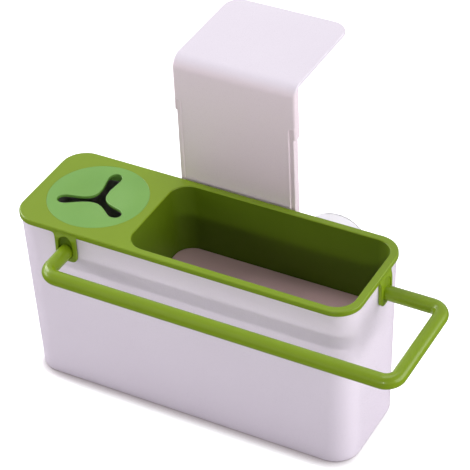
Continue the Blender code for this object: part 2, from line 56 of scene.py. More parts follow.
# Two tables for a rounded rectangle, counter-clockwise: how far along the straight sides' half
# lengths each point stands, from -1 to 1, and the way that it faces.
def roundedTables(cornerSteps, longSteps, shortSteps):
    corners = np.array(((1, 1), (-1, 1), (-1, -1), (1, -1)), float)
    share, facing = [], []
    for turn in range(4):
        angle = np.radians(np.linspace(0, 90, cornerSteps + 1) + 90 * turn)
        share.append(np.tile(corners[turn], (cornerSteps + 1, 1)))
        facing.append(np.stack((np.cos(angle), np.sin(angle)), 1))
        steps = shortSteps if turn % 2 else longSteps
        part = np.linspace(0, 1, steps + 1)[1:-1, None]
        share.append((1 - part) * corners[turn] + part * corners[(turn + 1) % 4])
        facing.append(np.tile(facing[-1][-1], (steps - 1, 1)))
    return np.concatenate(share), np.concatenate(facing)


# A profile of (offset, height) carried round a rounded rectangle whose half size may change with
# height: point = share x (half size - corner radius) + facing x (corner radius + offset). The
# steps are those of a corner, a long side and a short side.
def carriedRound(profile, halfAt, corner, steps, centre=(0, 0)):
    share, facing = roundedTables(*steps)
    offset, height = profile[:, 0, None, None], profile[:, 1]
    half = halfAt(height)[:, None, :]
    flat = share * (half - corner) + facing * (corner + offset) + centre
    up = np.broadcast_to(height[:, None, None], flat.shape[:2] + (1,))
    return np.concatenate((flat, up), 2) * mm


# An even taper between the half sizes at two heights.
def taper(lowHeight, lowHalf, topHeight, topHalf):
    def halfAt(height):
        part = ((height - lowHeight) / (topHeight - lowHeight))[:, None]
        return (1 - part) * lowHalf + part * topHalf
    return halfAt


# The same half size at every height.
def constantHalf(half):
    return lambda height: np.tile(half, (len(height), 1))


# Points of an arc: centre + radius x (cosine, sine) from one angle to another, in degrees.
def arcOf(centre, radius, start, end, steps):
    angle = np.radians(np.linspace(start, end, steps + 1))
    return np.stack((centre[0] + radius * np.cos(angle), centre[1] + radius * np.sin(angle)), 1)


# A full circle, without the repeated last point.
def circleOf(centre, radius, steps):
    return arcOf(centre, radius, 0, 360, steps)[:-1]


# Straight points from one place to another, without the last.
def lineOf(start, end, steps):
    part = np.linspace(0, 1, steps + 1)[:-1, None]
    return (1 - part) * start + part * end


# Lifts points of a flat face to a height.
def atHeight(height):
    return lambda points: np.column_stack((points, np.full(len(points), height))) * mm


# A row of finished points seen from above, in millimetres again.
def seenFromAbove(row):
    return row[:, :2] / mm


# A grid of points as a surface: each cell is a face, the columns close into a ring, and the first
# and last rows may be capped or closed into each other.
def gridSurface(points, capFirst=False, capLast=False, loop=False):
    rows, columns = points.shape[:2]
    index = np.arange(rows * columns).reshape(rows, columns)
    low, high = [part if loop else part[:-1] for part in (index, np.roll(index, -1, 0))]
    corners = (low, np.roll(low, -1, 1), np.roll(high, -1, 1), high)
    faces = np.stack(corners, -1).reshape(-1, 4).tolist()
    if capFirst:
        faces.append(index[0].tolist())
    if capLast:
        faces.append(index[-1].tolist())
    return points.reshape(-1, 3), faces


# A profile of (radius, distance along the axis) turned about Y or Z: point = centre + distance x
# axis + radius x (cosine x X + sine x the third axis). A radius of zero closes to one point.
def turnedSurface(profile, centre, along, steps):
    side, axis, up = np.eye(3)[[0, along, 3 - along]]
    angle = np.linspace(0, 2 * np.pi, steps, endpoint=False)[:, None]
    spoke = np.cos(angle) * side + np.sin(angle) * up
    points = centre + profile[:, 1, None, None] * axis + profile[:, 0, None, None] * spoke
    return gridSurface(points * mm)


# Even-odd test: a point is inside where a line to the right of it crosses the loops an odd
# number of times.
def insideLoops(points, loops):
    crossings = np.zeros(len(points), int)
    x, y = points[:, :1], points[:, 1:]
    for loop in loops:
        (startX, startY), (endX, endY) = loop.T, np.roll(loop, -1, 0).T
        rise = np.where(endY == startY, tiny, endY - startY)
        across = startX + (y - startY) / rise * (endX - startX)
        crossings += (((startY > y) != (endY > y)) & (across > x)).sum(1)
    return crossings % 2 == 1


# A face between loops (millimetres, in one plane), cut into triangles through the loops' own
# points and any extra ones, and lifted into space by a function of the plane's points.
def fillSurface(loops, lift, extra=np.empty((0, 2))):
    edges, start = [], 0
    for loop in loops:
        edges += [(start + i, start + (i + 1) % len(loop)) for i in range(len(loop))]
        start += len(loop)
    cloud = [Vector(point) for point in np.concatenate((*loops, extra))]
    found = delaunay_2d_cdt(cloud, edges, [], 0, making["fill"])
    points, triangles = np.array([tuple(point) for point in found[0]]), np.array(found[2])
    keep = insideLoops(points[triangles].mean(1), loops)
    return lift(points), triangles[keep].tolist()


# One closed shell from surfaces that meet: their points are merged and its faces turned outwards.
def closedShell(surfaces):
    shell = bmesh.new()
    for points, faces in surfaces:
        part = bpy.data.meshes.new("part")
        part.from_pydata(points.tolist(), [], faces)
        shell.from_mesh(part)
        bpy.data.meshes.remove(part)
    bmesh.ops.remove_doubles(shell, verts=shell.verts, dist=making["merge"])
    bmesh.ops.dissolve_degenerate(shell, edges=shell.edges, dist=making["merge"])
    bmesh.ops.recalc_face_normals(shell, faces=shell.faces)
    if shell.calc_volume(signed=True) < 0:
        bmesh.ops.reverse_faces(shell, faces=shell.faces)
    mesh = bpy.data.meshes.new("shell")
    shell.to_mesh(mesh)
    shell.free()
    return mesh


# Puts an object into the scene.
def addObject(name, data):
    added = bpy.data.objects.new(name, data)
    bpy.context.scene.collection.objects.link(added)
    return added


# A finished piece of one or more shells: smooth but for edges sharper than the crease, flat
# faces keeping flat shading beside their rounded edges.
def makePiece(name, shells, material, body, node=None, crease=making["crease"], edgeRound=0):
    whole = bmesh.new()
    for surfaces in shells:
        mesh = closedShell(surfaces)
        whole.from_mesh(mesh)
        bpy.data.meshes.remove(mesh)
    openEdges = sum(not edge.is_manifold for edge in whole.edges)
    mesh = bpy.data.meshes.new(name)
    whole.to_mesh(mesh)
    whole.free()
    mesh.shade_smooth()
    mesh.set_sharp_from_angle(angle=np.radians(crease))
    mesh.materials.append(material)
    piece = addObject(name, mesh)
    if edgeRound:
        bevel = piece.modifiers.new("edges", "BEVEL")
        bevel.width = edgeRound * mm
        bevel.segments = making["bevelSteps"]
        bevel.limit_method = "ANGLE"
        bevel.angle_limit = np.radians(crease)
    piece.modifiers.new("shading", "WEIGHTED_NORMAL").keep_sharp = True
    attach(piece, body)
    if node:
        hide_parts(node)
    print("piece", name, "with", len(mesh.polygons), "faces,", openEdges, "open edges")
    return piece


# sRGB hex to the linear colour that shaders take. The numbers are those of the sRGB standard.
def linear(hexColour):
    value = np.array([int(hexColour[i:i + 2], 16) for i in (1, 3, 5)]) / 255
    rgb = np.where(value <= 0.04045, value / 12.92, ((value + 0.055) / 1.055) ** 2.4)
    return (*rgb.tolist(), 1)


# Adds a shader node with its settings, and links each named input from the (node, output) given.
def addNode(tree, kind, settings=None, inputs=None, links=None):
    node = tree.nodes.new("ShaderNode" + kind)
    for key, value in (settings or {}).items():
        setattr(node, key, value)
    for key, value in (inputs or {}).items():
        node.inputs[key].default_value = value
    for key, (source, output) in (links or {}).items():
        tree.links.new(source.outputs[output], node.inputs[key])
    return node


# The empty node tree of a new material or world.
def emptyTree(owner):
    owner.use_nodes = True
    owner.node_tree.nodes.clear()
    return owner.node_tree


# How the noises of all moulded looks are broken up, and the part of the grain's noise over which
# the roughness changes.
moulding = {
    "flow": {"Detail": 3, "Roughness": 0.5}, "grain": {"Detail": 2, "Roughness": 0.6},
    "wave": {"Detail": 1, "Roughness": 0.4}, "glossSpan": (0.3, 0.7),
}


# Moulded plastic or rubber. Look: a base colour with a soft drift of shade from the melt's flow,
# a fine tool grain that breaks up the gloss, and slow waves of shrinkage in its reflections. The
# sizes are millimetres. A real mould's grain is finer and is drawn this coarse so that it shows.
# A look with a "low" colour passes into it downwards between two heights, as painted shade.
def mouldedMaterial(look):
    material = bpy.data.materials.new(look["name"])
    material["slot"] = look["slot"]
    tree = emptyTree(material)
    place = addNode(tree, "TexCoord")
    noise = {
        kind: addNode(tree, "TexNoise",
                      inputs={"Scale": 1 / (look[kind + "Size"] * mm), **moulding[kind]},
                      links={"Vector": (place, "Object")})
        for kind in ("flow", "grain", "wave")
    }
    colour = addNode(tree, "MixRGB",
                     inputs={"Color1": linear(look["colour"]), "Color2": linear(look["drift"])},
                     links={"Fac": (noise["flow"], "Fac")})
    if "low" in look:
        apart = addNode(tree, "SeparateXYZ", links={"Vector": (place, "Object")})
        down = addNode(tree, "MapRange", {"interpolation_type": "SMOOTHSTEP"},
                       {"From Min": look["lowFrom"] * mm, "From Max": look["lowTo"] * mm},
                       {"Value": (apart, "Z")})
        colour = addNode(tree, "MixRGB", inputs={"Color2": linear(look["low"])},
                         links={"Fac": (down, "Result"), "Color1": (colour, "Color")})
    (spanFrom, spanTo), (smooth, rough) = moulding["glossSpan"], look["roughness"]
    gloss = addNode(tree, "MapRange",
                    inputs={"From Min": spanFrom, "From Max": spanTo, "To Min": smooth, "To Max": rough},
                    links={"Value": (noise["grain"], "Fac")})
    normal = {}
    for kind in ("wave", "grain"):
        bump = addNode(tree, "Bump",
                       inputs={"Strength": look[kind + "Strength"], "Distance": look[kind + "Height"] * mm},
                       links={"Height": (noise[kind], "Fac"), **normal})
        normal = {"Normal": (bump, "Normal")}
    shader = addNode(tree, "BsdfPrincipled", inputs=look["shader"],
                     links={"Base Color": (colour, "Color"), "Roughness": (gloss, "Result"), **normal})
    addNode(tree, "OutputMaterial", links={"Surface": (shader, "BSDF")})
    return material


# What the looks start from: white ABS from a polished mould.
plainLook = {
    "slot": "white_plastic", "flowSize": 60, "roughness": (0.26, 0.34),
    "grainSize": 0.5, "grainStrength": 0.12, "grainHeight": 0.02,
    "waveSize": 45, "waveStrength": 0.25, "waveHeight": 0.25, "shader": {"IOR": 1.53},
}

# Glossy white ABS from a polished mould: lilac-white body, soft and weak reflections.
glossyWhiteAbs = mouldedMaterial({
    **plainLook, "name": "moulded glossy white ABS", "colour": "#EBE1EE", "drift": "#E6DBE9",
})

# The hanger's white, a little warmer down its plate than on its flange: painted shade, for the warmer
# light that falls on the plate.
paintedWarmShadeWhiteAbs = mouldedMaterial({
    **plainLook, "name": "moulded glossy white ABS with painted warm shade", "colour": "#EBE3EF", "drift": "#E6DDEA",
    "low": "#F0E0E9", "lowFrom": 243.4, "lowTo": 236,
})

# The shelf's white with painted shade: greyed and reddened as white looks in the shade at the foot
# of the green sleeve.
satinWhitePaintedShadeAbs = mouldedMaterial({
    **plainLook, "name": "moulded satin white ABS with painted shade", "colour": "#D8B2BA", "drift": "#D2ACB4",
    "flowSize": 50, "roughness": (0.36, 0.46), "grainStrength": 0.15,
})

# What the greens share: smaller parts, so smaller flow and waves.
greenLook = {
    **plainLook, "slot": "green_plastic", "flowSize": 40, "roughness": (0.28, 0.36),
    "waveSize": 30, "waveStrength": 0.3,
}

# Glossy leaf-green ABS: yellow-green body, brighter where its rounded edges catch the lamps.
glossyGreenAbs = mouldedMaterial({
    **greenLook, "name": "moulded glossy leaf green ABS", "colour": "#7E9816", "drift": "#779110",
    "shader": {"IOR": 1.53, "Specular IOR Level": 0.3},
})

# The green of the rail and the right tab: the same plastic with a thin burnish, which gives the
# rail's bends small sharp lights.
polishedGreenAbs = mouldedMaterial({
    **greenLook, "name": "moulded burnished leaf green ABS", "colour": "#7E9812", "drift": "#77910D",
    "shader": {"IOR": 1.53, "Specular IOR Level": 0.2, "Coat Weight": 0.2, "Coat Roughness": 0.08},
})

# The same green inside the sleeve and the front tab's socket, deeper and duller: its deeper colour
# is painted shade in these hollows.
satinGreenPaintedShadeAbs = mouldedMaterial({
    **greenLook, "name": "moulded satin leaf green ABS with painted shade", "colour": "#5C7409", "drift": "#566E08",
    "roughness": (0.42, 0.52), "grainStrength": 0.2, "waveStrength": 0.2, "waveHeight": 0.2,
    "shader": {"IOR": 1.53, "Specular IOR Level": 0.2},
})

# Soft thermoplastic rubber: bluer and paler green, matt, with a fine bloom.
softGreenTpr = mouldedMaterial({
    "name": "moulded soft green TPR", "slot": "soft_green_rubber",
    "colour": "#74A547", "drift": "#669840", "flowSize": 30,
    "roughness": (0.34, 0.46), "grainSize": 0.35, "grainStrength": 0.25, "grainHeight": 0.03,
    "waveSize": 20, "waveStrength": 0.25, "waveHeight": 0.2, "shader": {"IOR": 1.5},
})

# Milky plasticised PVC: pale, and clear enough to let the light behind it through.
milkyVinyl = mouldedMaterial({
    "name": "moulded milky vinyl", "slot": "cup_vinyl",
    "colour": "#EEEDEF", "drift": "#E7E6EA", "flowSize": 20,
    "roughness": (0.32, 0.42), "grainSize": 0.4, "grainStrength": 0.1, "grainHeight": 0.02,
    "waveSize": 12, "waveStrength": 0.3, "waveHeight": 0.2,
    "shader": {"IOR": 1.53, "Transmission Weight": 0.8},
})
print("materials made")


# The tub: one wall profile carried round, from the edge of its foot up the outside, over the lip
# and down the inside to its floor. The flat foot and the floor close it. Here and below, "gap" is
# how far past a rounding the next row of points stands.
tub = {
    "topHalf": (134.1, 44.6), "footHalf": (130.6, 42.5), "height": 137.5, "corner": 19.0,
    "wall": 2.2, "footRound": 1.2, "lipRound": 0.5, "floorRound": 2.5,
    "firstRow": 12, "gap": 1, "steps": (10, 20, 8),
}

tubHalf = taper(0, tub["footHalf"], tub["height"], tub["topHalf"])


# How far behind the middle the tub's back stands at a height.
def tubBack(height):
    return float(tubHalf(np.array((height,)))[0, 1])


def tubShell():
    foot, lip, floor, wall, top, gap = pick(tub, "footRound lipRound floorRound wall height gap")
    profile = np.concatenate((
        arcOf((-foot, foot), foot, -90, 0, steps=8),
        lineOf((0, tub["firstRow"]), (0, top - lip - gap), steps=10),
        arcOf((-lip, top - lip), lip, 0, 90, steps=4),
        arcOf((lip - wall, top - lip), lip, 90, 180, steps=4),
        lineOf((-wall, top - lip - gap), (-wall, wall + floor + gap), steps=8),
        arcOf((-wall - floor, wall + floor), floor, 0, -90, steps=6),
    ))
    points = carriedRound(profile, tubHalf, tub["corner"], tub["steps"])
    return [gridSurface(points, capFirst=True, capLast=True)]


# Two L-shaped guides and two ribs behind the tub: upright prisms, rooted halfway into its tapered
# wall.
guides = {
    "top": 131.0, "foot": 8.0, "webInner": 47.15, "webOuter": 49.65, "lipInner": 43.15,
    "lipFront": 54.9, "lipBack": 57.4, "ribInner": 43.55, "ribOuter": 46.35, "ribBack": 48.0,
    "edgeRound": 0.4,
}


def guideShells():
    shells, ends = [], np.array((guides["foot"], guides["top"]))
    roots = tubHalf(ends)[:, 1] - tub["wall"] / 2
    webIn, webOut, lipIn, lipFront, lipBack = pick(guides, "webInner webOuter lipInner lipFront lipBack")
    ribIn, ribOut, ribBack = pick(guides, "ribInner ribOuter ribBack")
    # Outlines from above, where None is the root.
    hook = ((webIn, None), (webOut, None), (webOut, lipBack),
            (lipIn, lipBack), (lipIn, lipFront), (webIn, lipFront))
    rib = ((ribIn, None), (ribOut, None), (ribOut, ribBack), (ribIn, ribBack))
    for side in (-1, 1):
        for outline in (hook, rib):
            rows = [atHeight(end)(np.array([(side * x, root if y is None else y) for x, y in outline]))
                    for end, root in zip(ends, roots)]
            shells.append([gridSurface(np.stack(rows), capFirst=True, capLast=True)])
    return shells


# The boss behind the tub that holds the suction cup's stem, a turned profile with a flared root.
boss = {
    "x": 74.0, "z": 111.0, "outer": 8.4, "bore": 5.4, "length": 6.0, "boreDepth": 5.4, "edge": 0.5,
    "flare": 1.2, "root": 1, "steps": 48,
}


def bossShell():
    outer, bore, edge, flare = pick(boss, "outer bore edge flare")
    back = tubBack(boss["z"])
    tip = back + boss["length"]
    profile = np.concatenate((
        [(0, back - boss["root"]), (outer + flare, back - boss["root"]), (outer + flare, back)],
        arcOf((outer + flare, back + flare), flare, 270, 180, steps=5),
        arcOf((outer - edge, tip - edge), edge, 0, 90, steps=4),
        arcOf((bore + edge, tip - edge), edge, 90, 180, steps=4),
        [(bore, tip - boss["boreDepth"]), (0, tip - boss["boreDepth"])],
    ))
    return [turnedSurface(profile, (boss["x"], 0, boss["z"]), alongY, boss["steps"])]


makePiece("tub_shell", [tubShell()], glossyWhiteAbs, "tub_body", "tub")
makePiece("tub_guides", guideShells() + [bossShell()], glossyWhiteAbs, "tub_body",
          edgeRound=guides["edgeRound"])


# The top frame: rim, deck with a seat for the grip, sponge sleeve with its ledge, skirt and tabs.
deck = {
    "half": (135.0, 45.5), "corner": 18.5, "top": 142.0, "under": 137.8, "edge": 1.2, "lowEdge": 0.4,
    "seatCentre": (-88.0, 0.0), "seatRadius": 37.3, "seatFloor": 139.7, "seatEdge": 0.15,
    "seatBreak": 0.1, "holeRadius": 31.8, "holeBreak": 0.2, "seatSteps": 96,
    "openCentre": (42.95, 0.0), "openHalf": (86.45, 39.9), "openCorner": 14.5, "openLip": 0.8, "gap": 2,
    "sleeveFoot": 83.4, "sleeveWall": 1.6, "sleeveTaper": 1.5, "sleeveRound": 0.8,
    "ledge": 85.0, "ledgeWidth": 3.0, "ledgeRound": 0.6, "ledgeEdge": 0.4,
    "skirtHalf": (131.5, 42.0), "skirtFootHalf": (131.3, 41.88), "skirtFoot": 129.8, "skirtWall": 1.6,
    "skirtCorner": 16.4, "skirtEdge": 0.4, "skirtRoot": 1,
    "rimSteps": (12, 24, 8), "openSteps": (12, 20, 10), "skirtSteps": (8, 12, 6),
}


# The rim's and the sleeve's profiles carried round and the seat's profile turned, joined above and
# below by flat faces round the openings.
def deckShell():
    top, under, edge, low = pick(deck, "top under edge lowEdge")
    rim = np.concatenate((
        arcOf((-low, under + low), low, -90, 0, steps=3),
        arcOf((-edge, top - edge), edge, 0, 90, steps=7),
    ))
    rimPoints = carriedRound(rim, constantHalf(deck["half"]), deck["corner"], deck["rimSteps"])

    lip, gap, wall, foot, footRound = pick(deck, "openLip gap sleeveWall sleeveFoot sleeveRound")
    ledge, width, hollow, ledgeEdge = pick(deck, "ledge ledgeWidth ledgeRound ledgeEdge")
    sleeve = np.concatenate((
        arcOf((lip, top - lip), lip, 90, 180, steps=6),
        lineOf((0, top - lip - gap), (0, ledge + hollow), steps=8),
        arcOf((-hollow, ledge + hollow), hollow, 0, -90, steps=4),
        arcOf((ledgeEdge - width, ledge - ledgeEdge), ledgeEdge, 90, 180, steps=3),
        arcOf((ledgeEdge - width, foot + ledgeEdge), ledgeEdge, 180, 270, steps=3),
        arcOf((wall - footRound, foot + footRound), footRound, -90, 0, steps=4),
        lineOf((wall, foot + gap), (wall, under), steps=6),
        [(wall, under)],
    ))
    footHalf = np.array(deck["openHalf"]) - deck["sleeveTaper"]
    sleeveHalf = taper(ledge, footHalf, top, deck["openHalf"])
    openPoints = carriedRound(sleeve, sleeveHalf, deck["openCorner"], deck["openSteps"], deck["openCentre"])

    centre, seat, floor, steps = pick(deck, "seatCentre seatRadius seatFloor seatSteps")
    seatEdge, seatBreak, hole, holeBreak = pick(deck, "seatEdge seatBreak holeRadius holeBreak")
    seatProfile = np.concatenate((
        arcOf((seat + seatEdge, top - seatEdge), seatEdge, 90, 180, steps=4),
        [(seat, floor + seatBreak), (seat - seatBreak, floor),
         (hole + holeBreak, floor), (hole, floor - holeBreak), (hole, under)],
    ))
    seatSurface = turnedSurface(seatProfile, (*centre, 0), alongZ, steps)
    topFace = fillSurface([seenFromAbove(rimPoints[-1]), seenFromAbove(openPoints[0]),
                           circleOf(centre, seat + seatEdge, steps)], atHeight(top))
    underFace = fillSurface([seenFromAbove(rimPoints[0]), seenFromAbove(openPoints[-1]),
                             circleOf(centre, hole, steps)], atHeight(under))
    return [gridSurface(rimPoints), gridSurface(openPoints), seatSurface, topFace, underFace]


# The skirt's wall profile carried round as a closed tube, its top inside the deck.
def skirtShell():
    under, foot, wall, edge = pick(deck, "under skirtFoot skirtWall skirtEdge")
    top = under + deck["skirtRoot"]
    halfAt = taper(foot, deck["skirtFootHalf"], under, deck["skirtHalf"])
    profile = np.concatenate((
        [(0, top)],
        arcOf((-edge, foot + edge), edge, 0, -90, steps=3),
        arcOf((edge - wall, foot + edge), edge, -90, -180, steps=3),
        [(-wall, top)],
    ))
    points = carriedRound(profile, halfAt, deck["skirtCorner"], deck["skirtSteps"])
    return [gridSurface(points, loop=True)]


# The tabs, each drawn on its own face: across and up, with the side that leaves the rim in a
# hollow curve at +across. A tab stands proud of the rim's side and fades into it at its top and
# along the hollow curve. Points are filled in at "spacing", and keep "clear" of the edges.
tab = {
    "half": 8.7, "low": 116.8, "high": 140.6, "corner": 4.5, "fillet": 3.6, "under": 137.8, "gap": 1,
    "proud": 1.9, "sunk": 0.15, "edge": 0.5, "fadeFrom": 134.5, "fadeInside": 1,
    "socketRadius": 5.8, "socketHeight": 125.0, "socketRise": 6.6, "socketLip": 0.5,
    "deepest": 5.0, "socketDeepest": 0.6, "spacing": 1.1, "clear": 0.4,
}

# The two tabs: how each is turned and placed, the way that its hollow curve points, how deep its
# socket is, and how far behind the rim's side its back stands.
tabs = {
    "front": {"turn": ((1, 0, 0), (0, 1, 0), (0, 0, 1)), "place": (-88.0, -45.5, 0),
              "side": -1, "depth": 2.5, "behind": 0.05},
    "right": {"turn": ((0, -1, 0), (1, 0, 0), (0, 0, 1)), "place": (135.0, 8.3, 0),
              "side": 1, "depth": 0.6, "behind": 0.8},
}


# How far out the tab's face stands at a point: proud x (1 - fade upwards) x (1 - fade along the
# hollow curve), less what sinks into the rim, where each fade is 3 t^2 - 2 t^3.
def tabReach(across, up):
    def fade(value, start, end):
        t = np.clip((value - start) / (end - start), 0, 1)
        return t * t * (3 - 2 * t)
    half = tab["half"]
    stays = 1 - fade(up, tab["fadeFrom"], tab["high"])
    stays = stays * (1 - fade(across, half - tab["fadeInside"], half + tab["fillet"]))
    return (tab["proud"] + tab["sunk"]) * stays - tab["sunk"]


# The tab's outline, moved inwards by an amount: its straight sides and the centres of its round
# corners stay, and the corner radii change by that amount.
def tabOutline(inwards=0):
    half, low, lower = tab["half"] - inwards, tab["low"] + inwards, tab["corner"] - inwards
    high, under, fillet, gap = pick(tab, "high under fillet gap")
    hollowEnd = tab["half"] + fillet
    return np.concatenate((
        lineOf((-half, high), (-half, low + lower + gap), steps=12),
        arcOf((-half + lower, low + lower), lower, 180, 270, steps=8),
        arcOf((half - lower, low + lower), lower, 270, 360, steps=8),
        lineOf((half, low + lower + gap), (half, under - fillet - gap), steps=6),
        arcOf((hollowEnd, under - fillet), fillet + inwards, 180, 90, steps=10),
        [(hollowEnd, (under + high) / 2), (hollowEnd, high)],
    ))


# The socket's outline: two half circles, one above the other.
def socketOutline(outwards=0):
    radius, height = tab["socketRadius"] + outwards, tab["socketHeight"]
    return np.concatenate((
        arcOf((0, height), radius, 180, 360, steps=20),
        arcOf((0, height + tab["socketRise"]), radius, 0, 180, steps=20),
    ))


# A tab: its side rises from its back to a rounded edge, its face follows tabReach, and the
# socket's wall goes down from a rounded lip to a floor as far below the face as it is deep.
def tabShell(one):
    proud, edge, lip = pick(tab, "proud edge socketLip")

    def turned(flat, inwards):
        points = np.column_stack((one["side"] * flat[:, 0], inwards, flat[:, 1]))
        return points * mm @ np.array(one["turn"], float).T + np.array(one["place"]) * mm

    def lift(out, deepest=tab["deepest"]):
        return lambda flat: turned(flat, -np.maximum(tabReach(*flat.T) - proud + out, -deepest))

    back = tabOutline()
    rows = [turned(back, np.full(len(back), one["behind"]))]
    rows += [lift(proud - edge + edge * np.sin(a))(tabOutline(edge * (1 - np.cos(a)))) for a in quarter]
    across = np.arange(-tab["half"], tab["half"] + tab["fillet"], tab["spacing"])
    up = np.arange(tab["low"], tab["high"], tab["spacing"])
    extra = np.stack(np.meshgrid(across, up), -1).reshape(-1, 2)
    clear = insideLoops(extra, [tabOutline(edge + tab["clear"])])
    clear &= ~insideLoops(extra, [socketOutline(lip + tab["clear"])])
    front = fillSurface([tabOutline(edge), socketOutline(lip)], lift(proud), extra[clear])
    holeRows = [lift(proud - lip + lip * np.cos(a))(socketOutline(lip * (1 - np.sin(a)))) for a in quarter]
    holeRows.append(lift(proud - one["depth"], tab["socketDeepest"])(socketOutline()))
    side, hole = gridSurface(np.stack(rows), capFirst=True), gridSurface(np.stack(holeRows), capLast=True)
    return [side, front, hole]


deckShells = [deckShell(), skirtShell(), tabShell(tabs["front"]), tabShell(tabs["right"])]
deckPiece = makePiece("deck_and_sleeve", deckShells, glossyGreenAbs, "frame_body", "top_frame")

# Which faces get another finish, the duller green with painted shade or the polished green: how far
# past the opening's and the socket's outlines a face may lie, between which depths it lies in the
# socket, and how far past the rim's end the right tab starts.
satin = {"openReach": 0.3, "socketReach": 0.1, "socketFrom": 0.4, "socketTo": 0.7, "tabFrom": 0.1}


# The satin green, whose deeper colour is painted shade, goes on the faces inside the opening that lie
# below its rounded lip, and on those inside the front tab's socket. The right tab is as polished as
# the rail's end in it.
def shadeAndFinishInside(mesh):
    mesh.materials.append(satinGreenPaintedShadeAbs)
    mesh.materials.append(polishedGreenAbs)
    middle = np.empty(len(mesh.polygons) * 3, np.float32)
    mesh.polygons.foreach_get("center", middle)
    middle = middle.reshape(-1, 3) / mm
    reach = np.abs(middle[:, :2] - deck["openCentre"]) < np.array(deck["openHalf"]) + satin["openReach"]
    inside = reach.all(1) & (middle[:, 2] < deck["top"] - deck["openLip"])
    local = middle - tabs["front"]["place"]
    inSocket = insideLoops(local[:, [0, 2]], [socketOutline(satin["socketReach"])])
    inSocket &= (local[:, 1] > satin["socketFrom"] - tab["proud"]) & (local[:, 1] < satin["socketTo"])
    polished = middle[:, 0] > deck["half"][0] + satin["tabFrom"]
    mesh.polygons.foreach_set("material_index", ((inside | inSocket) + 2 * polished).astype(np.int32))


shadeAndFinishInside(deckPiece.data)


# The shelf: a flat tray with a row of drain slots. Its rounded edge is carried round, each slot's
# wall is two half circles at four heights, and flat faces join them above and below.
shelf = {
    "centre": (42.95, 0.0), "half": (84.6, 38.05), "corner": 14.1, "top": 87.3, "thick": 2.0, "edge": 0.5,
    "slots": 8, "pitch": 16.5, "slotHalf": 14.0, "slotRadius": 1.9, "slotEdge": 0.3, "steps": (10, 18, 8),
}


def shelfShell():
    top, low, edge = shelf["top"], shelf["top"] - shelf["thick"], shelf["edge"]
    profile = np.concatenate((
        arcOf((-edge, low + edge), edge, -90, 0, steps=3),
        arcOf((-edge, top - edge), edge, 0, 90, steps=3),
    ))
    half, corner, steps, centre = pick(shelf, "half corner steps centre")
    points = carriedRound(profile, constantHalf(half), corner, steps, centre)
    slotHalf, slotRadius, slotEdge = pick(shelf, "slotHalf slotRadius slotEdge")
    straight = slotHalf - slotRadius
    surfaces, wide = [gridSurface(points)], []
    for number in range(shelf["slots"]):
        x = centre[0] + (number - (shelf["slots"] - 1) / 2) * shelf["pitch"]
        rows = []
        for wider, height in ((slotEdge, top), (0, top - slotEdge), (0, low + slotEdge), (slotEdge, low)):
            radius = slotRadius + wider
            loop = np.concatenate((arcOf((x, straight), radius, 0, 180, steps=8),
                                   arcOf((x, -straight), radius, 180, 360, steps=8)))
            rows.append(atHeight(height)(loop))
        surfaces.append(gridSurface(np.stack(rows)))
        wide.append(seenFromAbove(rows[0]))
    for height, outline in ((top, points[-1]), (low, points[0])):
        surfaces.append(fillSurface([seenFromAbove(outline)] + wide, atHeight(height)))
    return surfaces


makePiece("sponge_tray", [shelfShell()], satinWhitePaintedShadeAbs, "shelf_body", "sponge_shelf")


# The grip: a soft disc, dished towards the middle, with a three-armed slit whose lips are rounded.
# The arm's shares are those of its length along it and of the bulb's half width across it. Rings
# of points fill its faces: they are given by first and last radius and spacing, with so many
# points for each millimetre of radius, and at least the fewest.
grip = {
    "centre": (-88.0, 0.0), "radius": 37.25, "top": 142.0, "thick": 2.0, "thickInside": 2.3,
    "dish": 2.0, "dishEdge": 31.0, "dishPower": 0.9, "edge": 0.1, "underEdge": 0.2, "steps": 120,
    "ringOuter": 31.5, "ringInner": 30.4, "ringFoot": 134.4, "ringEdge": 0.3,
    "arms": 3, "armLength": 29.8, "bulbWidth": 9.8, "webShare": 0.181, "lip": 0.3, "slitSteps": 8,
    "armShares": ((0.33, 0.63), (0.54, 0.77), (0.67, 0.91), (0.81, 1.0), (0.93, 0.76)),
    "rings": (3, 36.2, 1.5), "ringPoints": 4, "fewest": 12, "slitClear": 0.5, "ringClear": 1,
}


# A smooth closed curve through knots: between two knots it is the cubic whose slopes at them run
# along the line between their neighbours, with handles of a share of the span's length.
def smoothLoop(knots, steps, handle=0.39):
    before, after = np.roll(knots, 1, 0), np.roll(knots, -1, 0)
    leftLength = np.linalg.norm(knots - before, axis=1)[:, None]
    rightLength = np.linalg.norm(after - knots, axis=1)[:, None]
    slope = (knots - before) / leftLength + (after - knots) / rightLength
    slope /= np.maximum(np.linalg.norm(slope, axis=1)[:, None], tiny)
    leaving = knots + slope * rightLength * handle
    entering = np.roll(knots - slope * leftLength * handle, -1, 0)
    t = np.linspace(0, 1, steps, endpoint=False)[None, :, None]
    curve = ((1 - t) ** 3 * knots[:, None] + 3 * (1 - t) ** 2 * t * leaving[:, None]
             + 3 * (1 - t) * t ** 2 * entering[:, None] + t ** 3 * after[:, None])
    return curve.reshape(-1, 2)


# The slit's outline: the notch before each arm, one side of the arm, its tip and its other side.
def slitLoop():
    shares, knots = np.array(grip["armShares"]), []
    length, wide = grip["armLength"], grip["bulbWidth"] / 2
    for arm in range(grip["arms"]):
        axis = np.pi / 2 + 2 * np.pi / grip["arms"] * arm
        notch = axis - np.pi / grip["arms"]
        along, across = np.array(((np.cos(axis), np.sin(axis)), (np.sin(axis), -np.cos(axis))))
        web = np.array(((np.cos(notch), np.sin(notch)),)) * length * grip["webShare"]
        reach, aside = shares[:, :1] * length * along, shares[:, 1:] * wide * across
        knots += [web, reach + aside, along[None] * length, (reach - aside)[::-1]]
    return smoothLoop(np.concatenate(knots), grip["slitSteps"])


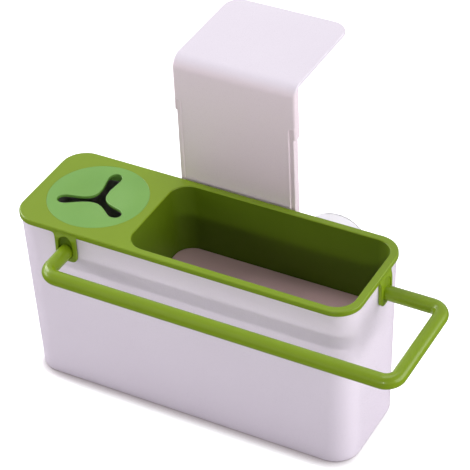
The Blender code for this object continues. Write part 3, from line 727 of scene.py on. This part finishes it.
# A loop moved outwards, each point along its own normal.
def movedOut(loop, distance):
    along = np.roll(loop, -1, 0) - np.roll(loop, 1, 0)
    normal = np.stack((along[:, 1], -along[:, 0]), 1) / np.linalg.norm(along, axis=1)[:, None]
    area = (loop[:, 0] * np.roll(loop[:, 1], -1) - np.roll(loop[:, 0], -1) * loop[:, 1]).sum()
    return loop + normal * distance * np.sign(area)


# Depth of the dish at a radius: full depth x (half a cosine wave from middle to edge) ^ power.
def dishDepth(radius):
    part = np.clip(radius / grip["dishEdge"], 0, 1)
    return grip["dish"] * (0.5 + 0.5 * np.cos(np.pi * part)) ** grip["dishPower"]


# The rim and the ring are a turned profile, the slit's wall runs from lip to lip, and both faces
# are flat loops lifted by their height less the dish's depth.
def gripShell():
    lip, edge, top, radius, under, steps = pick(grip, "lip edge top radius underEdge steps")
    outer, inner, foot, ringEdge = pick(grip, "ringOuter ringInner ringFoot ringEdge")
    low, deep = top - grip["thick"], top - grip["thickInside"]
    slit = slitLoop()

    def lifted(height):
        def place(points):
            depth = dishDepth(np.linalg.norm(points, axis=1))
            return np.column_stack((points + grip["centre"], height - depth)) * mm
        return place

    wall = [lifted(top - lip + lip * np.cos(a))(movedOut(slit, lip * (1 - np.sin(a)))) for a in quarter]
    wall += [lifted(deep + lip - lip * np.sin(a))(movedOut(slit, lip * (1 - np.cos(a)))) for a in quarter]

    rim = np.concatenate((
        arcOf((radius - edge, top - edge), edge, 90, 0, steps=4),
        arcOf((radius - under, low + under), under, 0, -90, steps=2),
        [(outer, low), (outer, foot + ringEdge), (outer - ringEdge, foot),
         (inner + ringEdge, foot), (inner, foot + ringEdge), (inner, deep - dishDepth(inner))],
    ))
    rimSurface = turnedSurface(rim, (*grip["centre"], 0), alongZ, steps)

    fewest, often = pick(grip, "fewest ringPoints")
    extra = np.concatenate([circleOf((0, 0), reach, max(fewest, int(reach * often)))
                            for reach in np.arange(*grip["rings"])])
    clear = ~insideLoops(extra, [movedOut(slit, lip + grip["slitClear"])])
    topLoops = [circleOf((0, 0), radius - edge, steps), movedOut(slit, lip)]
    topFace = fillSurface(topLoops, lifted(top), extra[clear])

    # The slit's tips reach the ring, so the underside is filled between the ring and the slit.
    within = clear & (np.linalg.norm(extra, axis=1) < inner - grip["ringClear"])
    underLoops = [circleOf((0, 0), inner, steps), movedOut(slit, lip)]
    underFace = fillSurface(underLoops, lifted(deep), extra[within])
    return [rimSurface, gridSurface(np.stack(wall)), topFace, underFace]


makePiece("brush_disc", [gripShell()], softGreenTpr, "frame_body", "brush_grip")


# The rail: a round section carried along three bends, with the mould's parting ridge on both
# sides: radius = rail's radius + ridge x (1 - distance from the parting plane / ridge's width).
rail = {
    "radius": 5.42, "height": 125.0, "frontY": -76.0, "rightX": 180.0, "bend": 9.5, "startX": -88.0,
    "frontRoot": -45.9, "rightRoot": 135.4, "endY": 8.3, "sides": 44, "crease": 60,
    "ridge": 0.07, "ridgeWidth": 0.3, "ridgeRows": (-1.0, -0.5, 0.5, 1.0),
}


def railShell():
    bend, start, front, right, end, root = pick(rail, "bend startX frontY rightX endY rightRoot")
    path = np.concatenate((
        lineOf((start, rail["frontRoot"]), (start, front + bend), steps=6),
        arcOf((start + bend, front + bend), bend, 180, 270, steps=16)[:-1],
        lineOf((start + bend, front), (right - bend, front), steps=40),
        arcOf((right - bend, front + bend), bend, 270, 360, steps=16)[:-1],
        lineOf((right, front + bend), (right, end - bend), steps=12),
        arcOf((right - bend, end - bend), bend, 0, 90, steps=16)[:-1],
        lineOf((right - bend, end), (root, end), steps=8),
        [(root, end)],
    ))
    along = np.gradient(path, axis=0)
    along /= np.linalg.norm(along, axis=1)[:, None]
    along[0], along[-1] = (0, -1), (-1, 0)
    side = np.stack((along[:, 1], -along[:, 0]), 1)
    angle = np.linspace(0, 2 * np.pi, rail["sides"], endpoint=False)
    width = rail["ridgeWidth"] / rail["radius"]
    near = np.array(rail["ridgeRows"]) * width
    angle = np.sort(np.concatenate((angle, near % (2 * np.pi), near + np.pi)))
    reach = rail["radius"] + rail["ridge"] * np.clip(1 - np.abs(np.sin(angle)) / width, 0, 1)
    flat = path[:, None] + (reach * np.cos(angle))[None, :, None] * side[:, None]
    up = np.broadcast_to(rail["height"] + reach * np.sin(angle), flat.shape[:2])[..., None]
    return [gridSurface(np.concatenate((flat, up), 2) * mm, capFirst=True, capLast=True)]


makePiece("towel_bar", [railShell()], polishedGreenAbs, "frame_body", "towel_rail", crease=rail["crease"])


# The hanger: a channel section (front face, cheeks and a hollow back) carried up the plate, round
# the bend and along the flange. Its half width steps out at the shoulders and rounds off at the end.
hanger = {
    "front": 47.7, "foot": 75.8, "top": 243.4, "back": 137.5, "bend": 10.0, "wall": 3.0, "cheek": 6.8,
    "half": 48.15, "tongueHalf": 46.75, "shoulder": 199.8, "corner": 12.0, "footRound": 0.8,
    "edge": 0.8, "plateEdge": 2.0, "backEdge": 0.35, "cheekEdge": 0.4, "hollowEdge": 0.8,
    "grooveInner": 43.15, "grooveOuter": 47.05, "grooveTop": 209.0, "grooveDepth": 0.75,
    "grooveSoft": 0.3, "beadWidth": 0.9, "beadHeight": 0.4,
}

# Rows up the plate: places from the foot, along the tongue (from the foot and the shoulder), round
# the shoulder, and below, round (first, last, spacing) and above the groove's top. Columns of the
# front face: places from its middle, then places from the rounded edge.
hangerGrid = {
    "foot": (0, 0.25, 0.8), "tongue": (4, -0.8), "shoulder": (-0.02, 0.02, 0.4, 0.8),
    "below": (2, 205), "grooveTop": (205.3, 210.8, 0.25), "above": 211.5,
    "tongueRows": 24, "belowRows": 4, "aboveRows": 10, "bendRows": 19, "flangeRows": 14, "tipRows": 15,
    "edgeClear": 1.4,
    "inner": (0, 12, 24, 34, 40.5, 41.8, 42.1, 42.3, 42.5, 42.7, 42.9, 43.05, 43.2, 43.35),
    "outer": (1.2, 0.9, 0.6, 0.3, 0.1), "corner": (0, 15, 30, 45, 60, 75, 90),
}


# How far along the section's path each row lies, counted from the foot.
def hangerRows(straight, bendLength, flat):
    foot, corner, grid = hanger["foot"], hanger["corner"], hangerGrid
    shoulder = hanger["shoulder"] - foot
    first, last = grid["tongue"]
    past, end = grid["below"]
    tipTurn = np.radians(np.linspace(0, 90, grid["tipRows"])[1:])
    return np.concatenate((
        grid["foot"],
        np.linspace(first, shoulder + last, grid["tongueRows"]),
        shoulder + np.array(grid["shoulder"]),
        np.linspace(shoulder + past, end - foot, grid["belowRows"]),
        np.arange(*grid["grooveTop"]) - foot,
        np.linspace(grid["above"], hanger["top"] - hanger["bend"], grid["aboveRows"]) - foot,
        straight + np.linspace(0, bendLength, grid["bendRows"])[1:],
        straight + bendLength + np.linspace(0, flat - corner, grid["flangeRows"])[1:],
        straight + bendLength + flat - corner * (1 - np.sin(tipTurn)),
    ))


# The right half of the section in each row, from the middle of the front face round to the middle
# of the back: how far across a point lies, and how far into the material from the front face.
def hangerSection(half, depth, r):
    wall, far, soft, rounding = pick(hanger, "wall backEdge cheekEdge hollowEdge")
    angle = np.radians(hangerGrid["corner"])
    hollow, cheekIn = np.maximum(depth - wall, 0), half - wall
    columns = (
        (np.minimum(hangerGrid["inner"], half - r - hangerGrid["edgeClear"]), 0 * half),
        (half - r - np.array(hangerGrid["outer"]), 0 * half),
        (half - r + r * np.sin(angle), r - r * np.cos(angle)),
        (half - far + far * np.cos(angle), depth - far + far * np.sin(angle)),
        (half - np.array((wall - soft, wall)), depth - np.minimum(soft, hollow) * np.array((0, 1))),
        (cheekIn, depth - np.maximum(hollow - rounding, hollow * 0.5)),
        (cheekIn - np.minimum(rounding, 0.5 * np.maximum(cheekIn, 0)), depth - hollow),
        (0.5 * cheekIn, depth - hollow),
        (0 * half, depth - hollow),
    )
    pairs = [np.broadcast_arrays(*column) for column in columns]
    return [np.concatenate(part, 1) for part in zip(*pairs)]


# What the groove and the bead add to the depth of the plate's front face: inside a strip with a
# round top the depth falls to the groove's by 3 t^2 - 2 t^3, and beside it a bead rises by the
# square of a sine.
def grooved(across, into, z, flatPlate, onFace):
    inner, outer, top = pick(hanger, "grooveInner grooveOuter grooveTop")
    radius, middle = (outer - inner) / 2, (outer + inner) / 2
    above = np.maximum(z - (top - radius), 0)
    apart = np.hypot(np.abs(across) - middle, above) - radius
    fall = np.clip(0.5 - apart / hanger["grooveSoft"], 0, 1) * flatPlate
    front = np.arange(across.shape[1]) < sum(map(len, pick(hangerGrid, "inner outer corner")))
    into = np.where(front, np.maximum(into, hanger["grooveDepth"] * fall * fall * (3 - 2 * fall)), into)
    beside = np.clip(apart / hanger["beadWidth"], 0, 1) * flatPlate
    return into - np.where(front & onFace, hanger["beadHeight"] * np.sin(np.pi * beside) ** 2, 0)


def hangerShell():
    foot, front, bend, wall, cheek, corner = pick(hanger, "foot front bend wall cheek corner")
    straight, bendLength, flat = hanger["top"] - bend - foot, bend * np.pi / 2, hanger["back"] - front - bend
    distance = hangerRows(straight, bendLength, flat)[:, None]
    turn = np.clip((distance - straight) / bend, 0, np.pi / 2)
    past = np.clip(distance - straight - bendLength, 0, None)
    cosine, sine = np.cos(turn), np.sin(turn)
    # The front face's line: up the plate, round the bend's outer side and back along the flange.
    y = front + bend * (1 - cosine) + past
    z = foot + np.minimum(distance, straight) + bend * sine
    # The cheeks' depth passes into the flange's thickness round the bend.
    depth = bend - np.minimum((bend - cheek) / np.maximum(cosine, tiny),
                              (bend - wall) / np.maximum(sine, tiny))
    depth = np.where(turn <= 0, cheek, np.where(turn >= np.pi / 2 - tiny, wall, depth))
    fromEnd = np.clip(straight + bendLength + flat - distance, 0, corner)
    half = np.where(distance < hanger["shoulder"] - foot, hanger["tongueHalf"], hanger["half"])
    half = half - (corner - np.sqrt(np.maximum(corner ** 2 - (corner - fromEnd) ** 2, 0)))
    # The plate's front edges are rounder than the flange's: the radius falls round the bend.
    r = hanger["edge"] + (hanger["plateEdge"] - hanger["edge"]) * (0.5 + 0.5 * np.cos(2 * turn))
    across, into = hangerSection(half, depth, r)
    into = grooved(across, into, z, turn <= 0, across < half - r)
    # The foot's own edge is rounded by drawing its first rows inwards.
    ease = np.clip(1 - distance / hanger["footRound"], 0, 1)
    easedIn = hanger["footRound"] * (1 - np.sqrt(np.maximum(1 - ease ** 2, 0)))
    into = np.where(ease > 0, np.maximum(into, easedIn), into)
    points = np.stack((across, y + into * cosine, z - into * sine), -1)
    mirrored = points[:, -2:0:-1] * np.array((-1, 1, 1))
    return [gridSurface(np.concatenate((points, mirrored), 1) * mm, capFirst=True, capLast=True)]


makePiece("over_edge_hanger", [hangerShell()], paintedWarmShadeWhiteAbs, "hanger_body", "hanger")


# The suction cup: a bell turned about its stem, its lip thin and its back hollow. The profile gives
# radius and distance from the boss's end: the stem, the bell's outside, its lip and its hollow.
cup = {
    "x": 74.0, "z": 111.0, "gap": 0.3, "steps": 72,
    "profile": (
        (0.0, -5.0), (4.4, -5.0), (4.8, -4.9), (5.0, -4.5), (5.0, 0.0),
        (6.5, 0.0), (6.5, 1.6), (7.4, 2.3), (9.6, 3.6), (12.5, 5.2), (15.6, 6.6), (18.6, 7.7),
        (21.4, 8.7), (23.6, 9.4), (24.7, 9.75), (25.0, 10.2), (25.0, 10.7), (24.8, 11.0), (24.2, 10.95),
        (21.0, 10.3), (16.5, 9.4), (12.0, 8.6), (7.0, 7.9), (3.0, 7.6), (0.0, 7.5),
    ),
}


def cupShell():
    front = tubBack(cup["z"]) + boss["length"] + cup["gap"]
    profile = np.array(cup["profile"]) + (0, front)
    return [turnedSurface(profile, (cup["x"], 0, cup["z"]), alongY, cup["steps"])]


makePiece("vinyl_cup", [cupShell()], milkyVinyl, "tub_body", "suction_cup")
print("pieces made")


# The camera, solved from the photograph's straight edges.
camera = {
    "place": (0.60580, -1.01845, 1.04642), "azimuth": 29.7511, "elevation": 37.5843, "roll": -2.8157,
    "focalPixels": 2119.55, "imagePixels": 470, "sensor": 36.0, "clip": (0.05, 30),
}


def makeCamera():
    az, el, roll = np.radians((camera["azimuth"], camera["elevation"], camera["roll"]))
    ahead = np.array((-np.sin(az) * np.cos(el), np.cos(az) * np.cos(el), -np.sin(el)))
    right = np.array((np.cos(az), np.sin(az), 0))
    up = np.cross(right, ahead)
    data = bpy.data.cameras.new("view")
    data.sensor_fit = "HORIZONTAL"
    data.sensor_width = camera["sensor"]
    data.lens = camera["focalPixels"] * camera["sensor"] / camera["imagePixels"]
    data.clip_start, data.clip_end = camera["clip"]
    rolledRight = right * np.cos(roll) + up * np.sin(roll)
    rolledUp = up * np.cos(roll) - right * np.sin(roll)
    matrix = np.eye(4)
    matrix[:3] = np.stack((rolledRight, rolledUp, -ahead, camera["place"]), 1)
    holder = addObject("view", data)
    holder.matrix_world = Matrix(matrix.tolist())
    bpy.context.scene.camera = holder


makeCamera()


# Studio: soft white lamps on a sphere round the middle of the holder, each given by its bearing in
# degrees (0 is behind the holder, 90 on its right), its degrees above the floor's plane, its width
# and height in metres, and its watts.
lamps = {
    "leftBox": (256, 17, (1.3, 0.9), 25.5),
    "leftHigh": (287, 33, (1.1, 1.1), 39.0),
    "rightBox": (78, 17, (3.0, 1.6), 63.0),
    "overhead": (0, 68, (1.2, 1.2), 12.5),
    "zenith": (0, 87, (0.8, 0.8), 7.5),
    "front": (165, 18, (0.16, 0.16), 11.0),
    "fill": (195, 14, (2.4, 1.2), 3.4),
    "spark": (213, 43, (0.3, 0.3), 1.0),
}
studio = {"middle": (0.03, 0.0, 0.1), "distance": 2.5}


def makeLamp(name, bearing, height, size, power):
    data = bpy.data.lights.new(name, "AREA")
    data.shape = "RECTANGLE"
    data.size, data.size_y = size
    data.energy = power
    bearing, height = np.radians((bearing, height))
    away = Vector((np.cos(height) * np.sin(bearing), np.cos(height) * np.cos(bearing), np.sin(height)))
    place = Vector(studio["middle"]) + away * studio["distance"]
    turn = (-away).to_track_quat("-Z", "Y").to_matrix().to_4x4()
    addObject(name, data).matrix_world = Matrix.Translation(place) @ turn


for name, lamp in lamps.items():
    makeLamp(name, *lamp)


# One where any of the named kinds of ray meets the surface.
def seenRay(tree, kinds):
    path = addNode(tree, "LightPath")
    seen, output = path, kinds[0]
    for kind in kinds[1:]:
        links = {0: (seen, output), 1: (path, kind)}
        seen, output = addNode(tree, "Math", {"operation": "MAXIMUM"}, links=links), 0
    return seen, output


# The room: white to the eye and in reflections and glass, and a faint lilac light on surfaces.
room = {"strength": 0.02, "colour": "#F6F3FA", "seen": "#FFFFFF"}


def makeRoom():
    world = bpy.data.worlds.new("room")
    tree = emptyTree(world)
    soft = addNode(tree, "Background",
                   inputs={"Color": linear(room["colour"]), "Strength": room["strength"]})
    white = addNode(tree, "Background", inputs={"Color": linear(room["seen"]), "Strength": 1})
    seen = seenRay(tree, ("Is Camera Ray", "Is Glossy Ray", "Is Transmission Ray"))
    mix = addNode(tree, "MixShader", links={0: seen, 1: (soft, 0), 2: (white, 0)})
    addNode(tree, "OutputWorld", links={"Surface": (mix, 0)})
    bpy.context.scene.world = world


makeRoom()


# The floor: white paper that glows a little, so that it stays white to the camera, and is greyer in
# reflections, with a narrow shadow in front of what stands on it. That shadow is how much of a
# tilted half sphere is closed off close by.
floor = {
    "half": 2.2, "colour": "#F2F2F4", "mirrored": "#5A585C", "glow": 0.6, "lit": "#FFFFFF",
    "shadeReach": 12.0, "shadeFrom": (0.0, 0.80, 0.60), "shadeRange": (0.25, 0.78),
    "shadeColour": "#90858A", "shadeSamples": 16,
}


def paperMaterial():
    material = bpy.data.materials.new("matt white paper")
    tree = emptyTree(material)
    tilted = addNode(tree, "CombineXYZ", inputs=dict(enumerate(floor["shadeFrom"])))
    closed = addNode(tree, "AmbientOcclusion", {"samples": floor["shadeSamples"]},
                     {"Distance": floor["shadeReach"] * mm}, {"Normal": (tilted, 0)})
    shut, clear = floor["shadeRange"]
    openness = addNode(tree, "MapRange", inputs={"From Min": shut, "From Max": clear},
                    links={"Value": (closed, "AO")})
    shade = addNode(tree, "MixRGB",
                    inputs={"Color1": linear(floor["shadeColour"]), "Color2": linear(floor["lit"])},
                    links={"Fac": (openness, "Result")})
    # Rays that pass through the cup count as seen, and not as mirrored.
    glossy, through = [seenRay(tree, (kind,)) for kind in ("Is Glossy Ray", "Is Transmission Ray")]
    mirrored = addNode(tree, "Math", {"operation": "SUBTRACT", "use_clamp": True},
                       links={0: glossy, 1: through})
    tint = addNode(tree, "MixRGB",
                   inputs={"Color1": linear(floor["colour"]), "Color2": linear(floor["mirrored"])},
                   links={"Fac": (mirrored, 0)})
    shaded = addNode(tree, "MixRGB", {"blend_type": "MULTIPLY"}, {"Fac": 1},
                     {"Color1": (tint, "Color"), "Color2": (shade, "Color")})
    paper = addNode(tree, "BsdfDiffuse", links={"Color": (shaded, "Color")})
    amount = addNode(tree, "Math", {"operation": "MULTIPLY"}, {1: floor["glow"]},
                     {0: seenRay(tree, ("Is Camera Ray", "Is Transmission Ray"))})
    glow = addNode(tree, "Emission", links={"Color": (shade, "Color"), "Strength": (amount, 0)})
    both = addNode(tree, "AddShader", links={0: (paper, 0), 1: (glow, 0)})
    addNode(tree, "OutputMaterial", links={"Surface": (both, 0)})
    return material


def makeFloor():
    corners = np.array(((-1, -1, 0), (1, -1, 0), (1, 1, 0), (-1, 1, 0))) * floor["half"]
    mesh = bpy.data.meshes.new("paper_floor")
    mesh.from_pydata(corners.tolist(), [], [(0, 1, 2, 3)])
    mesh.materials.append(paperMaterial())
    plane = addObject("paper_floor", mesh)


makeFloor()
bpy.context.scene.view_settings.view_transform = "Standard"
print("studio made")
